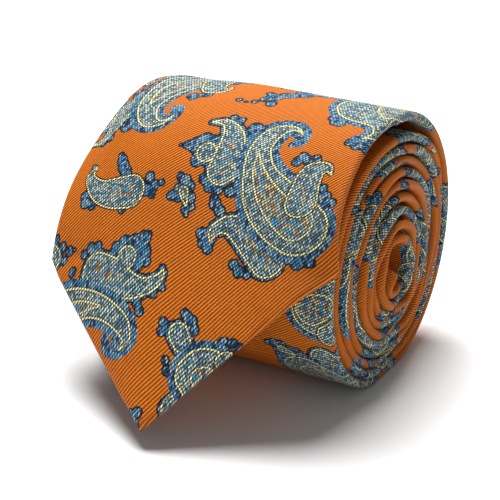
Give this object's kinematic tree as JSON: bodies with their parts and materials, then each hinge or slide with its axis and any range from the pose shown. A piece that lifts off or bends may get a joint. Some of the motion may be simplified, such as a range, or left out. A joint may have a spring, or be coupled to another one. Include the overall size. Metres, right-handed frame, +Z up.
{
  "type": "necktie",
  "caption": "Printed silk necktie rolled up from its narrow end, with the pointed wide end hanging free in front.",
  "frame": {"origin": "middle of the bounding box, on the surface the roll lies on", "axes": "+X towards the side where all turns are flush, -Y towards the hanging point, +Z up"},
  "size_m": [0.0838, 0.0991, 0.0695],
  "materials": {
    "silk_print": "satin",
    "lining_silk": "satin",
    "wool_interlining": "matte",
    "silk_thread": "satin",
    "woven_label": "satin",
    "tag_tape": "satin"
  },
  "bodies": {
    "roll": {"wide_blade_shell": "silk_print", "wide_blade_inner_shell": "silk_print", "neck_shell": "silk_print", "narrow_blade_shell": "silk_print", "front_interlining": "wool_interlining", "tail_interlining": "wool_interlining", "narrow_tipping": "lining_silk", "keeper_loop": "silk_print", "keeper_loop_tacks": "silk_thread", "blank_label": "woven_label", "care_tag": "tag_tape", "wide_bar_tack": "silk_thread", "narrow_bar_tack": "silk_thread", "slip_stitches": "silk_thread", "front_neck_seam": "silk_thread", "rear_neck_seam": "silk_thread", "interlining_join": "silk_thread"},
    "free_end": {"wide_end_shell": "silk_print", "wide_end_interlining": "wool_interlining", "wide_end_tipping": "lining_silk", "tipping_stitches": "silk_thread"}
  },
  "joints": [
    {"name": "free_end_flex", "type": "hinge", "parent": "roll", "child": "free_end", "pos_m": [0, 0.0145, 0.0683], "axis": [-1, 0, 0], "range_deg": [0, 60]}
  ]
}
